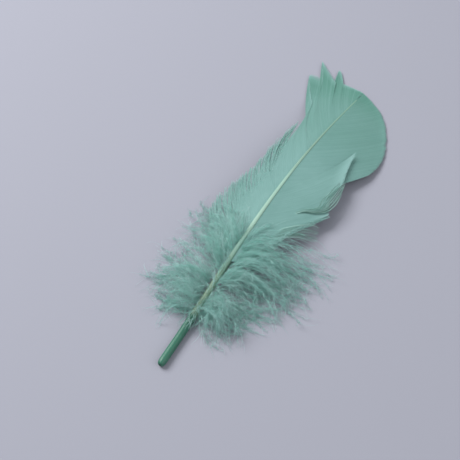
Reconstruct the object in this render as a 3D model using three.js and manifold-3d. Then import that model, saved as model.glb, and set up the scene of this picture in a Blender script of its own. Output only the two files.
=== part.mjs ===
// Goose quill feather, lying loose on a flat surface with its outer side up.
//
// Millimetres, +Z up. +Y runs along the shaft from the butt of the quill to the tip, the wide
// vane is on the +X side, and the surface it lies on is z = 0. The feather grew as one piece, so
// it is one closed solid: a bowed, tapering shaft, the webs of barbs that make up the two vanes,
// and the locks of down at their foot.

import * as THREE from 'three';
import Module from 'manifold-3d';

const wasm = await Module();
wasm.setup();

// ---------------------------------------------------------------- driving dimensions

const SHAFT_LENGTH = 150;       // butt of the quill to the end of the shaft
const SHAFT_BOW = 1.8;          // the shaft's middle bows this far towards the narrow vane
const SHAFT_ARCH = 6.4;         // and stands this far above its ends
const ARCH_START = 12;          // the barrel lies flat on the surface up to here
const ARCH_SKEW = 1.35;         // over 1 carries the crest of the arch towards the tip

const QUILL_LENGTH = 24;        // bare barrel, below the lowest down
const QUILL_RADIUS = 1.5;
const QUILL_END = 2.4;          // length of the rounded butt
const BUTT_RADIUS = 0.7;
const SHAFT_RADIUS = 1.3;       // where the barrel has narrowed into the shaft
const NECK_LENGTH = 6;          // over which it does so
const SHAFT_TIP_RADIUS = 0.3;
const SHAFT_TIP_HEIGHT = 1.1;   // the shaft's axis above the surface, at its tip
const SHAFT_TAPER = 1.2;
const SHAFT_SIDES = 10;

const VANE_THICKNESS = 0.5;
const VANE_DROOP = 4.6;         // a margin that stands VANE_REACH out hangs this far below the shaft
const VANE_REACH = 25;
const DROOP_POWER = 1.6;
const BARB_RIDGE = 0.16;        // height of the ridges between the bundles of barbs
const BUNDLE_WIDTH = 3.6;       // a bundle's width along the shaft
const BUNDLE_NOTCH = 0.9;       // depth of the notch between two bundles, at the margin
const BARB_STEPS = 5;           // faces along a barb

const LOCK_SIDES = 4;
const LOCK_STEPS = 5;
const LOCK_RADIUS = 1.0;
const LOCK_TIP_RADIUS = 0.18;
const LOCK_SPREAD = 13;         // how far a lock strays from its neighbours' angle, in degrees
const CLEARANCE = 0.3;          // the lowest any barb or lock comes to the surface

const MINT = 0x86b8b0;

// A web is a run of barbs that hold together. Its barbs leave the shaft from `foot` to `head`, in
// distance from the butt, and end on the smooth outline through `margin`, given as [distance out
// from the shaft, distance from the butt]. `bend` is the angle in degrees between a barb and its
// own chord, and `lift` raises the margin over the web beside it.

const NARROW_VANE = [
  { foot: 48, head: 60, bend: 16, lift: 0.0, margin: [[21, 68], [20.2, 74], [18.8, 81]] },
  { foot: 59, head: 84, bend: 15, lift: 0.2, margin: [[18.4, 82], [15.6, 92], [13.4, 102.5]] },
  { foot: 80, head: 85, bend: 12, lift: 0.9, margin: [[13.9, 105], [13.6, 114], [12.9, 123.5]] },
  { foot: 84, head: 109, bend: 13, lift: 0.2, margin: [[9.8, 107.5], [11, 122.4], [14.3, 138]] },
  { foot: 108, head: 114, bend: 9, lift: 0.0, margin: [[15, 139], [20.4, 147], [24.2, 153.4], [19, 154.2]] },
  { foot: 113, head: 128, bend: 7, lift: 0.7, margin: [[16.2, 149], [20, 157], [23.2, 163.4], [12.6, 155]] },
  { foot: 127, head: 137, bend: 7, lift: 0.1, margin: [[12.4, 155.4], [14.6, 162.6], [9.8, 156.6]] },
  { foot: 136, head: 150, bend: 6, lift: 0.0, margin: [[9.4, 156.4], [5.0, 155.8], [0.5, 154.8]] },
];

const WIDE_VANE = [
  { foot: 48, head: 54, bend: 20, lift: 0.1, margin: [[12, 63], [12.8, 66], [12.8, 69.4]] },
  { foot: 53, head: 61, bend: 18, lift: 0.2, margin: [[13.2, 70.8], [15.4, 74.6], [18, 78.4]] },
  { foot: 60, head: 85, bend: 14, lift: 0.8, margin: [[18.8, 80], [21.8, 90], [19.4, 104], [15.6, 120]] },
  { foot: 81, head: 112, bend: 12, lift: -0.3, margin: [[24.6, 114.5], [25.4, 121], [24, 129], [20.6, 137]] },
  { foot: 111, head: 132, bend: 10, lift: 0.1, margin: [[20, 137.8], [16.6, 143.6], [12.2, 148.4]] },
  { foot: 131, head: 150, bend: 8, lift: 0.0, margin: [[11.6, 148.8], [6.0, 152.4], [0.5, 154.8]] },
];

// Down: each layer's locks leave one side of the shaft from `foot` to `head`. The lowest turn back
// towards the butt and the highest lie along the vane. `out` is the angle they leave at, from the
// direction of the tip, and `turn` how far each swings round, both given for the lowest and the
// highest lock. `reach` is their length, and `rise` how far their middle stands off a straight
// line from the shaft down to the surface.

const DOWN = [
  { side: -1, count: 13, foot: 24, head: 55, out: [124, 44], turn: [-30, -24], reach: [18, 31], rise: 0.6 },
  { side: -1, count: 10, foot: 25, head: 52, out: [104, 30], turn: [26, 34], reach: [16, 27], rise: 6.4 },
  { side: 1, count: 15, foot: 24, head: 55, out: [128, 46], turn: [-44, 22], reach: [19, 42], rise: 0.8 },
  { side: 1, count: 10, foot: 25, head: 52, out: [100, 36], turn: [34, 48], reach: [16, 34], rise: 7.4 },
];

// ---------------------------------------------------------------- shared shapes

const radians = THREE.MathUtils.degToRad;
const lerp = THREE.MathUtils.lerp;
const clamp = THREE.MathUtils.clamp;
const smoothstep = THREE.MathUtils.smoothstep;

/** Repeatable numbers from 0 to 1: the fractional part of a large multiple of a sine. */
function scatter(index, channel) {
  const wave = Math.sin(index * 12.9898 + channel * 78.233) * 43758.5453;
  return wave - Math.floor(wave);
}

/** The larger of two heights, rounded where they cross. */
function softMax(a, b) {
  const rounding = 0.5;
  return 0.5 * (a + b + Math.hypot(a - b, rounding));
}

function shaftRadius(y) {
  const taper = Math.pow(1 - clamp((y - QUILL_LENGTH) / (SHAFT_LENGTH - QUILL_LENGTH), 0, 1), SHAFT_TAPER);
  const barrel = 1 - smoothstep(y, QUILL_LENGTH, QUILL_LENGTH + NECK_LENGTH);
  const full = lerp(SHAFT_TIP_RADIUS, SHAFT_RADIUS, taper) + (QUILL_RADIUS - SHAFT_RADIUS) * barrel;
  const fromButt = clamp(1 - y / QUILL_END, 0, 1);
  return full - (full - BUTT_RADIUS) * (1 - Math.sqrt(1 - fromButt * fromButt));
}

/** The shaft's centre line: flat along the barrel, then one arch down to the tip. */
function shaftAxis(y) {
  const along = clamp(y / SHAFT_LENGTH, 0, 1);
  const arch = clamp((y - ARCH_START) / (SHAFT_LENGTH - ARCH_START), 0, 1);
  const rest = lerp(QUILL_RADIUS * Math.cos(Math.PI / SHAFT_SIDES), SHAFT_TIP_HEIGHT, arch);
  const x = -SHAFT_BOW * Math.sin(Math.PI * along);
  return new THREE.Vector3(x, y, rest + SHAFT_ARCH * Math.sin(Math.PI * Math.pow(arch, ARCH_SKEW)));
}

/** Height of the vanes' mid surface: the shaft's height less a droop that grows outwards. */
function vaneHeight(x, y) {
  const axis = shaftAxis(Math.min(y, SHAFT_LENGTH));
  const droop = VANE_DROOP * Math.pow(Math.abs(x - axis.x) / VANE_REACH, DROOP_POWER);
  return softMax(axis.z - droop, CLEARANCE + VANE_THICKNESS / 2);
}

/** Solid from points and triangles, turned the right way out. */
function solid(points, triangles) {
  const origin = points[0];
  let volume = 0;
  for (const [a, b, c] of triangles) {
    const pa = points[a].clone().sub(origin);
    const pb = points[b].clone().sub(origin);
    const pc = points[c].clone().sub(origin);
    volume += pa.dot(pb.cross(pc));
  }
  const facing = volume > 0 ? triangles : triangles.map(([a, b, c]) => [a, c, b]);
  const mesh = new wasm.Mesh({
    numProp: 3,
    vertProperties: new Float32Array(points.flatMap((p) => [p.x, p.y, p.z])),
    triVerts: new Uint32Array(facing.flat()),
  });
  return new wasm.Manifold(mesh);
}

/** Closed tube through rings of points, with its two ends capped flat. */
function loft(rings) {
  const sides = rings[0].length;
  const points = rings.flat();
  const triangles = [];
  for (let ring = 0; ring < rings.length - 1; ring += 1) {
    for (let side = 0; side < sides; side += 1) {
      const next = (side + 1) % sides;
      const a = ring * sides + side;
      const b = ring * sides + next;
      triangles.push([a, b, b + sides], [a, b + sides, a + sides]);
    }
  }
  const last = (rings.length - 1) * sides;
  for (let side = 1; side < sides - 1; side += 1) {
    triangles.push([0, side + 1, side], [last, last + side, last + side + 1]);
  }
  return solid(points, triangles);
}

/** Closed sheet from a grid of [under, upper] point pairs: rows along the shaft, columns outwards. */
function sheet(grid) {
  const rows = grid.length;
  const columns = grid[0].length;
  const points = grid.flat(2);
  const under = (row, column) => 2 * (row * columns + column);
  const upper = (row, column) => under(row, column) + 1;
  const triangles = [];
  const quad = (a, b, c, d) => triangles.push([a, b, c], [a, c, d]);
  for (let row = 0; row < rows - 1; row += 1) {
    for (let column = 0; column < columns - 1; column += 1) {
      quad(upper(row, column), upper(row, column + 1), upper(row + 1, column + 1), upper(row + 1, column));
      quad(under(row, column), under(row + 1, column), under(row + 1, column + 1), under(row, column + 1));
    }
    const edge = columns - 1;
    quad(under(row, 0), upper(row, 0), upper(row + 1, 0), under(row + 1, 0));
    quad(under(row, edge), under(row + 1, edge), upper(row + 1, edge), upper(row, edge));
  }
  for (let column = 0; column < columns - 1; column += 1) {
    const end = rows - 1;
    quad(under(0, column), under(0, column + 1), upper(0, column + 1), upper(0, column));
    quad(under(end, column), upper(end, column), upper(end, column + 1), under(end, column + 1));
  }
  return solid(points, triangles);
}

// ---------------------------------------------------------------- the feather's parts

/** Quill and shaft: a ten-sided tapering tube with a flat underside. */
function makeShaft() {
  const stations = [0, 0.25, 0.9, QUILL_END];
  const steps = 30;
  for (let step = 1; step <= steps; step += 1) {
    stations.push(lerp(QUILL_END, SHAFT_LENGTH, step / steps));
  }
  const halfSide = Math.PI / SHAFT_SIDES;
  const rings = stations.map((y) => {
    const axis = shaftAxis(y);
    const radius = shaftRadius(y);
    return Array.from({ length: SHAFT_SIDES }, (_, side) => {
      const angle = halfSide + (2 * Math.PI * side) / SHAFT_SIDES - Math.PI / 2;
      return new THREE.Vector3(axis.x + radius * Math.cos(angle), y, axis.z + radius * Math.sin(angle));
    });
  });
  return loft(rings);
}

/**
 * Point on a barb: an arc whose heading turns evenly from chord + bend at the shaft to
 * chord - bend at the margin, so its ends are `root` and `tip`.
 */
function barbPoint(root, tip, bend, t) {
  const chord = Math.atan2(tip.x - root.x, tip.y - root.y);
  const reach = root.distanceTo(tip) * (bend / Math.sin(bend));
  const start = chord + bend;
  const heading = start - 2 * bend * t;
  const x = root.x + (reach * (Math.cos(heading) - Math.cos(start))) / (2 * bend);
  const y = root.y + (reach * (Math.sin(start) - Math.sin(heading))) / (2 * bend);
  return new THREE.Vector2(x, y);
}

/** One web of a vane: bundles of barbs side by side, ridged on top and notched at the margin. */
function makeWeb(web, side) {
  const outline = new THREE.SplineCurve(web.margin.map(([out, y]) => new THREE.Vector2(out, y)));
  const bundles = Math.max(2, Math.round((web.head - web.foot) / BUNDLE_WIDTH));
  const rows = 2 * bundles;
  const bend = radians(web.bend);
  const grid = [];
  for (let row = 0; row <= rows; row += 1) {
    const rootY = lerp(web.foot, web.head, row / rows);
    const onRidge = row % 2;
    const root = new THREE.Vector2(0, rootY);
    const tip = outline.getPoint(row / rows);
    const notch = onRidge ? 0 : BUNDLE_NOTCH / root.distanceTo(tip);
    const barb = [];
    for (let step = 0; step <= BARB_STEPS; step += 1) {
      const t = (step / BARB_STEPS) * (1 - notch);
      const flat = barbPoint(root, tip, bend, t);
      const x = shaftAxis(Math.min(flat.y, SHAFT_LENGTH)).x + side * flat.x;
      const z = vaneHeight(x, flat.y) + web.lift * t * t;
      const upper = z + VANE_THICKNESS / 2 + onRidge * BARB_RIDGE;
      barb.push([new THREE.Vector3(x, flat.y, z - VANE_THICKNESS / 2), new THREE.Vector3(x, flat.y, upper)]);
    }
    grid.push(barb);
  }
  return sheet(grid);
}

/** One lock of down: a spindle along a curve that turns, rises off the shaft and sinks again. */
function makeLock(side, rootY, out, turn, reach, rise) {
  const root = shaftAxis(rootY);
  const rings = [];
  let x = root.x;
  let y = root.y;
  for (let step = 0; step <= LOCK_STEPS; step += 1) {
    const t = step / LOCK_STEPS;
    const heading = radians(out + turn * t);
    const body = Math.pow(Math.sin(Math.PI * (0.16 + 0.84 * t)), 0.7);
    const radius = Math.max(LOCK_TIP_RADIUS, LOCK_RADIUS * body);
    const z = softMax(lerp(root.z, 0, t) + 4 * rise * t * (1 - t), CLEARANCE + radius);
    const across = new THREE.Vector3(side * Math.cos(heading), -Math.sin(heading), 0);
    rings.push(Array.from({ length: LOCK_SIDES }, (_, corner) => {
      const angle = (2 * Math.PI * corner) / LOCK_SIDES;
      return new THREE.Vector3(x, y, z)
        .addScaledVector(across, radius * Math.cos(angle))
        .add(new THREE.Vector3(0, 0, 0.8 * radius * Math.sin(angle)));
    }));
    x += (side * reach * Math.sin(heading)) / LOCK_STEPS;
    y += (reach * Math.cos(heading)) / LOCK_STEPS;
  }
  return loft(rings);
}

/** One layer of locks, uneven in angle, height and length so that they lie in a soft heap. */
function makeDown({ side, count, foot, head, out, turn, reach, rise }, layer) {
  return Array.from({ length: count }, (_, index) => {
    const along = (index + 0.5) / count;
    const uneven = (channel) => 2 * scatter(index, 4 * layer + channel) - 1;
    const length = lerp(reach[0], reach[1], Math.sin((Math.PI / 2) * along)) * (0.92 + 0.16 * uneven(1));
    const leaving = lerp(out[0], out[1], along) + LOCK_SPREAD * uneven(2);
    const swing = lerp(turn[0], turn[1], along) + LOCK_SPREAD * uneven(3);
    return makeLock(side, lerp(foot, head, along), leaving, swing, length, rise + 1.2 * uneven(4));
  });
}

// ---------------------------------------------------------------- the whole feather

const grown = [
  ...NARROW_VANE.map((web) => makeWeb(web, -1)),
  ...WIDE_VANE.map((web) => makeWeb(web, 1)),
  ...DOWN.flatMap(makeDown),
].reduce((whole, piece) => whole.add(piece), makeShaft());

const { vertProperties, triVerts } = grown.getMesh();
const geometry = new THREE.BufferGeometry();
geometry.setAttribute('position', new THREE.BufferAttribute(new Float32Array(vertProperties), 3));
geometry.setIndex(new THREE.BufferAttribute(new Uint32Array(triVerts), 1));
geometry.computeVertexNormals();

const feather = new THREE.Mesh(
  geometry,
  new THREE.MeshStandardMaterial({ color: MINT, roughness: 0.75, metalness: 0, flatShading: true }),
);
feather.name = 'feather';

const part = new THREE.Group();
part.add(feather);

// The origin is under the middle of the feather, on the surface it lies on.
const extent = new THREE.Box3().setFromObject(part);
const middle = extent.getCenter(new THREE.Vector3());
feather.position.set(-middle.x, -middle.y, -extent.min.z);

export default part;
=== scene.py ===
"""Goose quill feather, lying with its outer side up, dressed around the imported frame.

The feather is laid out in millimetres from the butt of its quill: x across, y along the shaft and
z up from the surface it lies on. `Placement` turns those into metres in the frame.
"""

import logging
import math
from dataclasses import dataclass, field
from enum import Enum
from typing import Any, Callable, Sequence

import bpy
import numpy as np
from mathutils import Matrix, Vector


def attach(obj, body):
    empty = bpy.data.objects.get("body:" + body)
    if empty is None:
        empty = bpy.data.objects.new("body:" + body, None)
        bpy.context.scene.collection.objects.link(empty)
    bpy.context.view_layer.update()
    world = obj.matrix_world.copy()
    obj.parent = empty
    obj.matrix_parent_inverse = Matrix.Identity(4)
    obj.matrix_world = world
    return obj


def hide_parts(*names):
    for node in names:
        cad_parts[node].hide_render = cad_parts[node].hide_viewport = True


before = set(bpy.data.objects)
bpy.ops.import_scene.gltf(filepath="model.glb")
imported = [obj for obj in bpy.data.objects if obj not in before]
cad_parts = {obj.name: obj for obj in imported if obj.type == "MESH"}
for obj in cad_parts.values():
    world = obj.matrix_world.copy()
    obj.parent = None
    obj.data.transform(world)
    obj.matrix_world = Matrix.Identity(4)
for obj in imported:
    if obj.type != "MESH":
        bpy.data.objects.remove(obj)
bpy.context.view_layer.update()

Array = np.ndarray
Colour = tuple[float, float, float, float]
NODE = "feather"
BODY = "root"
UP = np.array([0.0, 0.0, 1.0])
MM = 1e-3
log = logging.getLogger("feather")


# ------------------------------------------------------------------ numbers and curves


def lerp(low: Any, high: Any, share: Any) -> Any:
    """Straight mix of two values: low at share 0, high at share 1."""
    return low + (high - low) * share


def unit(vectors: Array) -> Array:
    """Vectors along the last axis, brought to length 1."""
    return vectors / np.maximum(np.linalg.norm(vectors, axis=-1, keepdims=True), 1e-12)


def soft_max(a: Array, b: Array, rounding: float = 0.5) -> Array:
    """The larger of two heights, rounded where they cross: half of a + b + hypot(a - b, rounding)."""
    return 0.5 * (a + b + np.hypot(a - b, rounding))


def smooth_step(low: float, high: float, value: Array) -> Array:
    """0 below low, 1 above high, and 3s^2 - 2s^3 between them."""
    share = np.clip((value - low) / (high - low), 0.0, 1.0)
    return share * share * (3.0 - 2.0 * share)


def through(points: Array, share: Array) -> Array:
    """Points on a smooth curve through a few given ones, which share the parameter evenly.

    Formula: a Catmull-Rom cubic between neighbours, with the end points doubled.

    Args:
        points: the curve's own points, one row each.
        share: 0 at the first point and 1 at the last.

    Returns:
        One row for each share.
    """
    points = np.asarray(points, float)
    last = len(points) - 1
    spot = np.clip(share, 0.0, 1.0) * last
    index = np.minimum(np.floor(spot).astype(int), last)
    weight = (spot - index)[..., None]
    before, here = points[np.maximum(index - 1, 0)], points[index]
    after, later = points[np.minimum(index + 1, last)], points[np.minimum(index + 2, last)]
    leave, arrive = 0.5 * (after - before), 0.5 * (later - here)
    cubic = 2.0 * here - 2.0 * after + leave + arrive
    square = -3.0 * here + 3.0 * after - 2.0 * leave - arrive
    return ((cubic * weight + square) * weight + leave) * weight + here


@dataclass(frozen=True)
class ShaftLine:
    """The shaft's centre line and thickness, and the height of the vanes beside it."""

    length: float = 150.0
    bow: float = 1.8
    arch: float = 6.4
    arch_start: float = 12.0
    arch_skew: float = 1.35
    quill_length: float = 24.0
    quill_radius: float = 1.5
    quill_end: float = 2.4
    butt_radius: float = 0.7
    shaft_radius: float = 1.3
    neck: float = 6.0
    tip_radius: float = 0.3
    tip_height: float = 1.1
    taper: float = 1.2
    solid_sides: int = 10
    perch: float = 0.55
    perch_reach: float = 2.6
    droop: float = 4.6
    droop_reach: float = 25.0
    droop_power: float = 1.6
    lowest: float = 0.45
    reach: float = 163.4

    def radius(self, y: Array) -> Array:
        """Half thickness: barrel, neck and power-law taper to the tip, with a round shoulder.

        Args:
            y: distances from the butt.

        Returns:
            A radius for each.
        """
        left = 1.0 - np.clip((y - self.quill_length) / (self.length - self.quill_length), 0.0, 1.0)
        barrel = 1.0 - smooth_step(self.quill_length, self.quill_length + self.neck, y)
        full = lerp(self.tip_radius, self.shaft_radius, left**self.taper)
        full = full + (self.quill_radius - self.shaft_radius) * barrel
        from_butt = np.clip(1.0 - y / self.quill_end, 0.0, 1.0)
        return full - (full - self.butt_radius) * (1.0 - np.sqrt(1.0 - from_butt**2))

    def axis(self, y: Array) -> Array:
        """Centre line: a sine bow sideways and one skewed sine arch upwards.

        Args:
            y: distances from the butt.

        Returns:
            A place (x, y, z) for each.
        """
        y = np.asarray(y, float)
        along = np.clip(y / self.length, 0.0, 1.0)
        arch = np.clip((y - self.arch_start) / (self.length - self.arch_start), 0.0, 1.0)
        rest = lerp(self.quill_radius * math.cos(math.pi / self.solid_sides), self.tip_height, arch)
        rise = self.arch * np.sin(np.pi * arch**self.arch_skew)
        return np.stack([-self.bow * np.sin(np.pi * along), y, rest + rise], axis=-1)

    def vane_height(self, x: Array, y: Array) -> Array:
        """Height of the vanes above the surface.

        Formula: the shaft's height, plus a bell that seats the barbs high on the shaft's flanks, less
        a droop that grows as a power of the distance out.

        Args:
            x, y: places in the feather's millimetres.

        Returns:
            A height for each place.
        """
        axis = self.axis(np.minimum(y, self.length))
        out = np.abs(x - axis[..., 0])
        seat = self.perch * self.radius(y) * np.exp(-((out / self.perch_reach) ** 2))
        droop = self.droop * (out / self.droop_reach) ** self.droop_power
        return soft_max(axis[..., 2] + seat - droop, self.lowest + np.zeros_like(droop))


LINE = ShaftLine()


@dataclass(frozen=True)
class Placement:
    """Carries the feather's own millimetres into the frame's metres."""

    shift: Array

    @classmethod
    def from_frame(cls) -> "Placement":
        """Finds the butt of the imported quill: the middle of its lowest-y corners, on the surface.

        Returns:
            The placement that has its origin there.
        """
        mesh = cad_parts[NODE].data
        corners = np.empty(len(mesh.vertices) * 3, np.float32)
        mesh.vertices.foreach_get("co", corners)
        corners = corners.reshape(-1, 3).astype(float)
        end = corners[corners[:, 1] < corners[:, 1].min() + 0.01 * MM]
        middle = 0.5 * (end.min(axis=0) + end.max(axis=0))
        return cls(np.array([middle[0], middle[1], corners[:, 2].min()]))

    def metres(self, points: Array) -> Array:
        """Millimetres from the butt to metres in the frame."""
        return points * MM + self.shift


# ------------------------------------------------------------------ meshes


@dataclass
class Surface:
    """Faces, corners and per-vertex values of a piece while it is put together."""

    smooth: bool = True
    points: list[Array] = field(default_factory=list)
    corners: list[Array] = field(default_factory=list)
    sizes: list[Array] = field(default_factory=list)
    maps: list[Array] = field(default_factory=list)
    values: dict[str, list[Array]] = field(default_factory=dict)
    count: int = 0

    def add(self, points: Array, faces: Sequence[Array], maps: Sequence[Array], **values: Array) -> None:
        """Adds one closed batch.

        Args:
            points: vertices, one row each.
            faces: arrays of vertex numbers within the batch, one row a face.
            maps: for each array of faces, its corners' places on the UV map.
            values: one number a vertex, under the attribute's name.
        """
        for face, place in zip(faces, maps):
            self.corners.append((face + self.count).ravel())
            self.sizes.append(np.full(len(face), face.shape[1]))
            self.maps.append(place.reshape(-1, 2))
        for name, value in values.items():
            self.values.setdefault(name, []).append(np.broadcast_to(value, len(points)).ravel())
        self.points.append(points)
        self.count += len(points)

    def triangles(self) -> int:
        """How many triangles the faces come to."""
        return int((np.concatenate(self.sizes) - 2).sum())

    def build(self, name: str, place: Placement, material: bpy.types.Material) -> bpy.types.Object:
        """Makes the mesh object, at the origin, with its UV map and attributes.

        Args:
            name: the piece's name.
            place: where the feather's millimetres lie in the frame.
            material: its finish.

        Returns:
            The linked object.
        """
        points = place.metres(np.concatenate(self.points))
        corners = np.concatenate(self.corners)
        sizes = np.concatenate(self.sizes)
        mesh = bpy.data.meshes.new(name)
        mesh.vertices.add(len(points))
        mesh.vertices.foreach_set("co", points.astype(np.float32).ravel())
        mesh.loops.add(len(corners))
        mesh.loops.foreach_set("vertex_index", corners.astype(np.int32))
        mesh.polygons.add(len(sizes))
        starts = np.concatenate([[0], np.cumsum(sizes)[:-1]])
        mesh.polygons.foreach_set("loop_start", starts.astype(np.int32))
        mesh.polygons.foreach_set("use_smooth", np.full(len(sizes), self.smooth))
        mesh.update(calc_edges=True)
        layer = mesh.uv_layers.new(name="OFBake", do_init=False)
        layer.uv.foreach_set("vector", np.concatenate(self.maps).astype(np.float32).ravel())
        for label, value in self.values.items():
            store = mesh.attributes.new(label, "FLOAT", "POINT")
            store.data.foreach_set("value", np.concatenate(value).astype(np.float32))
        mesh.validate()
        mesh.materials.append(material)
        piece = bpy.data.objects.new(name, mesh)
        bpy.context.scene.collection.objects.link(piece)
        return piece


class Section(Enum):
    """Cross-sections carried along barbs, as (across, up) corners in turn."""

    BLADE = ((1.0, 0.0), (0.0, 1.0), (-1.0, 0.0), (0.0, -0.7))
    HAIR = ((1.0, -0.5), (0.0, 1.0), (-1.0, -0.5))


@dataclass
class Strands:
    """Many barbs at once: paths of shape (barbs, steps, 3) with a width, height and roll at each step.

    edge is the share of each barb's row of the UV map that stays free on either side.
    """

    paths: Array
    width: Array
    height: Array
    roll: Array
    edge: float = 0.1

    def frames(self) -> tuple[Array, Array, Array]:
        """Directions at each step of the paths.

        Returns:
            The way along each path, the level way across it and the one square to both.
        """
        along = unit(np.gradient(self.paths, axis=1))
        across = unit(np.cross(UP, along))
        return along, across, np.cross(along, across)

    def weave(
        self, surface: Surface, section: Section, rows: tuple[float, float], **values: Array
    ) -> None:
        """Carries a section along every path and adds the closed tubes to a surface.

        Formula: path + across * (w x cos r - h y sin r) + up * (w x sin r + h y cos r), where
        (x, y) is a corner of the section, w, h half its width and height, and r its roll.

        Args:
            surface: where the tubes go.
            section: the cross-section.
            rows: the band of the UV map that the barbs share, one thin row each.
            values: numbers of shape (barbs, steps) or (barbs, 1), stored as attributes.
        """
        barbs, steps, _ = self.paths.shape
        shape = np.array(section.value)
        sides = len(shape)
        _, across, up = self.frames()
        wide = 0.5 * self.width[..., None] * shape[:, 0]
        high = 0.5 * self.height[..., None] * shape[:, 1]
        cos, sin = np.cos(self.roll)[..., None], np.sin(self.roll)[..., None]
        points = (
            self.paths[:, :, None]
            + across[:, :, None] * (wide * cos - high * sin)[..., None]
            + up[:, :, None] * (wide * sin + high * cos)[..., None]
        )
        barb, step, side = np.meshgrid(
            np.arange(barbs), np.arange(steps - 1), np.arange(sides), indexing="ij"
        )
        corner = np.array([[0, 0], [0, 1], [1, 1], [1, 0]])
        level, over = step[..., None] + corner[:, 0], side[..., None] + corner[:, 1]
        quads = ((barb * steps)[..., None] + level) * sides + over % sides
        free = 1.0 - 2.0 * self.edge
        row = lerp(*rows, (barb[..., None] + self.edge + free * over / sides) / barbs)
        places = np.stack(np.broadcast_arrays(level / (steps - 1), row), axis=-1)
        first = (np.arange(barbs)[:, None] * steps) * sides + np.arange(sides)
        ends = [first[:, ::-1], first + (steps - 1) * sides]
        turn = np.linspace(0.0, 2.0 * np.pi, sides, endpoint=False)
        cap_row = lerp(*rows, (np.arange(barbs)[:, None] + 0.5 + 0.5 * free * np.cos(turn)) / barbs)
        inset = 0.5 * free / steps * np.abs(np.sin(turn))
        caps = [np.stack(np.broadcast_arrays(u, cap_row), axis=-1) for u in (inset, 1.0 - inset)]
        stored = {
            name: np.broadcast_to(value[..., None], (barbs, steps, sides)).ravel()
            for name, value in values.items()
        }
        surface.add(points.reshape(-1, 3), [quads.reshape(-1, 4), *ends], [places, *caps], **stored)


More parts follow.
